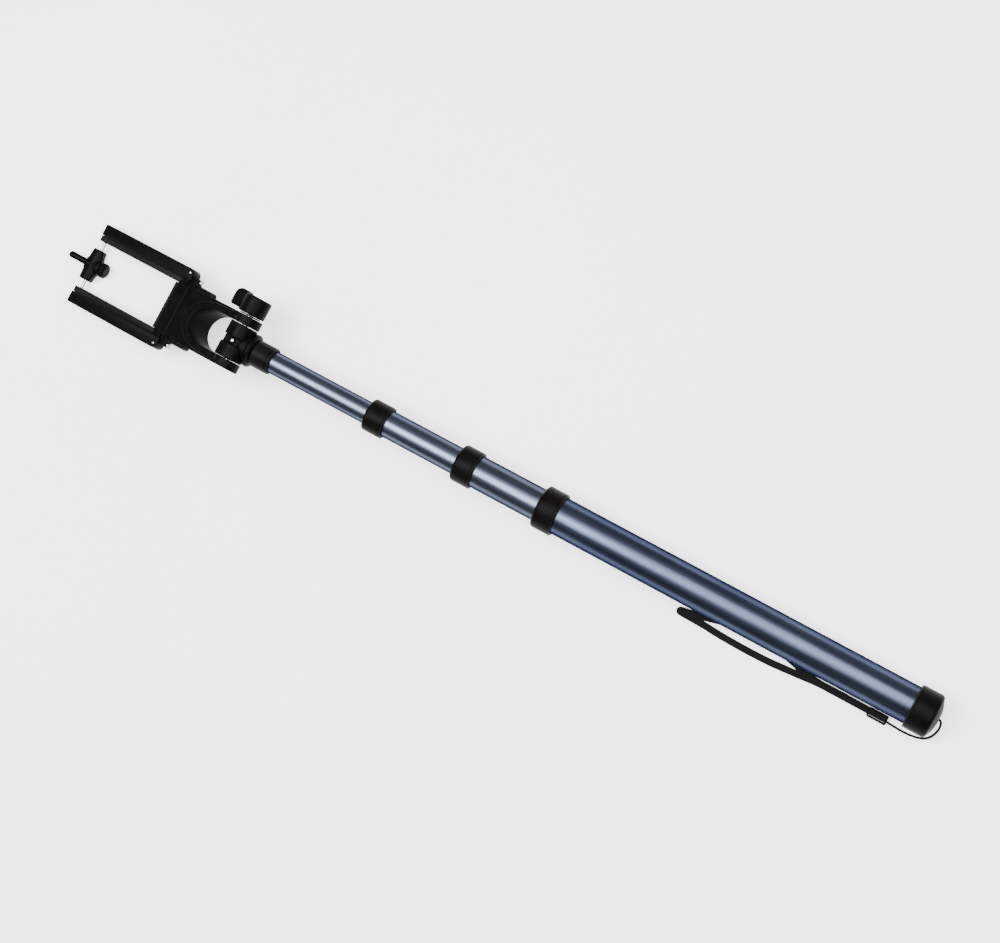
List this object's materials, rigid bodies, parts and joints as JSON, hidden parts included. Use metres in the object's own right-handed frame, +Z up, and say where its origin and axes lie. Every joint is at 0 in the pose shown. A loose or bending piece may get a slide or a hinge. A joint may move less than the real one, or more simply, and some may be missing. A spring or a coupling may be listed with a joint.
{
  "type": "selfie stick",
  "caption": "Telescoping selfie stick with a tilting head, a spring-loaded phone cradle, a camera screw and a wrist strap",
  "frame": {"origin": "on the surface the stick lies on, under the middle of its bounding box without the wrist strap", "axes": "+X from the grip's end to the head, +Y to the wrist strap's side, +Z up; the pole leans 2.25 degrees because it lies on its end cap and its two rail tips"},
  "size_m": [0.788, 0.0754, 0.0542],
  "materials": {
    "anodised_navy": "dark blue anodised, satin",
    "anodised_blue": "slate blue anodised, satin",
    "black_plastic": "matt black moulded plastic",
    "satin_black_plastic": "satin black moulded plastic",
    "black_rubber": "matt black rubber",
    "black_webbing": "black woven nylon",
    "nylon": "natural nylon",
    "steel": "plain steel",
    "chrome": "bright chrome",
    "brass": "turned brass"
  },
  "bodies": {
    "grip": {"grip_tube": "anodised_navy", "grip_collar": "black_plastic", "grip_friction_sleeve": "nylon", "end_cap": "satin_black_plastic", "end_plug": "nylon", "cord_knot": "black_webbing", "wrist_cord": "black_webbing", "strap_clasp": "satin_black_plastic", "wrist_webbing": "black_webbing"},
    "second": {"second_tube": "anodised_blue", "second_collar": "black_plastic", "second_friction_sleeve": "nylon", "second_guide_bush": "nylon"},
    "third": {"third_tube": "anodised_blue", "third_collar": "black_plastic", "third_friction_sleeve": "nylon", "third_guide_bush": "nylon"},
    "top": {"top_tube": "anodised_blue", "top_guide_bush": "nylon", "head_socket": "black_plastic", "socket_flange": "black_plastic", "pivot_shell_left": "black_plastic", "pivot_shell_right": "black_plastic", "shell_screw": "steel"},
    "head": {"yoke": "black_plastic", "tension_bolt": "steel", "tension_washer": "steel", "cradle_base": "black_plastic", "ledge_plate": "black_rubber", "cradle_screw_left": "steel", "cradle_screw_right": "steel", "rail_left": "black_plastic", "rail_right": "black_plastic", "rail_pin_left": "steel", "rail_pin_right": "steel", "jaw_spring_left": "steel", "jaw_spring_right": "steel", "latch_spring_left": "steel", "latch_spring_right": "steel"},
    "knob": {"tension_knob": "black_plastic", "knob_insert": "brass"},
    "latch_left": {"latch_button_left": "black_plastic"},
    "latch_right": {"latch_button_right": "black_plastic"},
    "jaw": {"slider_left": "black_plastic", "slider_right": "black_plastic", "cross_rod_left": "chrome", "cross_rod_right": "chrome"},
    "screw_holder": {"screw_holder": "black_plastic"},
    "camera_screw": {"camera_screw": "steel", "thumb_knob": "black_plastic"}
  },
  "joints": [
    {"name": "second_slide", "type": "slide", "parent": "grip", "child": "second", "axis": [0.9992, 0, 0.0393], "range_m": [-0.0546, 0.2015]},
    {"name": "third_slide", "type": "slide", "parent": "second", "child": "third", "axis": [0.9992, 0, 0.0393], "range_m": [-0.062, 0.1935]},
    {"name": "top_slide", "type": "slide", "parent": "third", "child": "top", "axis": [0.9992, 0, 0.0393], "range_m": [-0.0862, 0.169]},
    {"name": "head_tilt", "type": "hinge", "parent": "top", "child": "head", "pos_m": [0.21538, 0.00265, 0.04104], "axis": [0, 1, 0], "range_deg": [-150, 120]},
    {"name": "tension_turn", "type": "hinge", "parent": "head", "child": "knob", "pos_m": [0.21538, 0.00265, 0.04104], "axis": [0, 1, 0], "continuous": true},
    {"name": "latch_left_press", "type": "slide", "parent": "head", "child": "latch_left", "axis": [0, -1, 0], "range_m": [0, 0.0012], "stiffness_N_per_m": 700},
    {"name": "latch_right_press", "type": "slide", "parent": "head", "child": "latch_right", "axis": [0, 1, 0], "range_m": [0, 0.0012], "stiffness_N_per_m": 700},
    {"name": "jaw_slide", "type": "slide", "parent": "head", "child": "jaw", "axis": [0.9754, 0, -0.2206], "range_m": [0, 0.028], "stiffness_N_per_m": 160},
    {"name": "holder_swing", "type": "hinge", "parent": "jaw", "child": "screw_holder", "pos_m": [0.36802, 0.00265, 0.00651], "axis": [0, 1, 0], "range_deg": [-100, 100]},
    {"name": "camera_screw_turn", "type": "hinge", "parent": "screw_holder", "child": "camera_screw", "pos_m": [0.36802, 0.00265, 0.00651], "axis": [0.9966, 0, -0.0827], "continuous": true}
  ]
}
